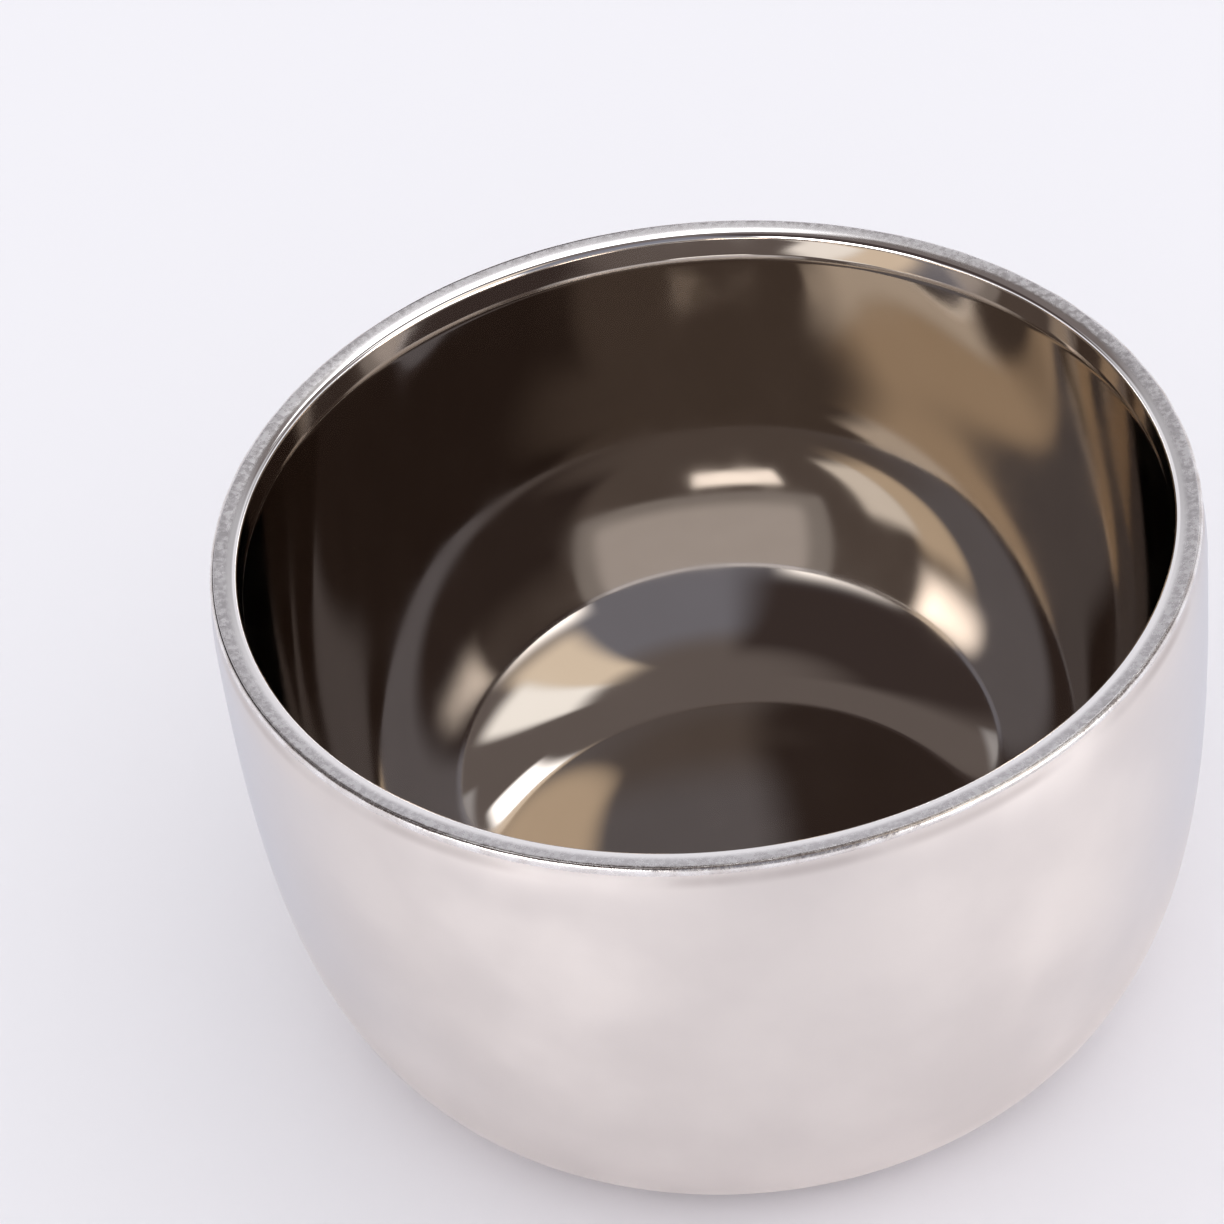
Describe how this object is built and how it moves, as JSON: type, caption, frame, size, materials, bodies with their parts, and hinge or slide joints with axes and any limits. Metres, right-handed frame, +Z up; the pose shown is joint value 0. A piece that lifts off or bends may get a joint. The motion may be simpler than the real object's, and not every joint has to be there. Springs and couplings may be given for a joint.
{
  "type": "shaving mug",
  "caption": "Double-walled steel shaving mug: a satin outer shell with a rounded lower body, a mirror-polished inner bowl and a welded rim.",
  "frame": {"origin": "centre of the foot ring, on the surface the mug stands on", "axes": "+Z up along the mug's axis, out of its mouth; the mug is the same all round, so +X and +Y are free"},
  "size_m": [0.099, 0.099, 0.0575],
  "materials": {
    "satin_steel": "satin stainless steel",
    "mirror_steel": "mirror-polished stainless steel",
    "ground_weld": "ground weld, uneven and matt"
  },
  "bodies": {
    "root": {"outer_shell": "satin_steel", "inner_bowl": "mirror_steel", "rim_weld": "ground_weld"}
  },
  "joints": []
}
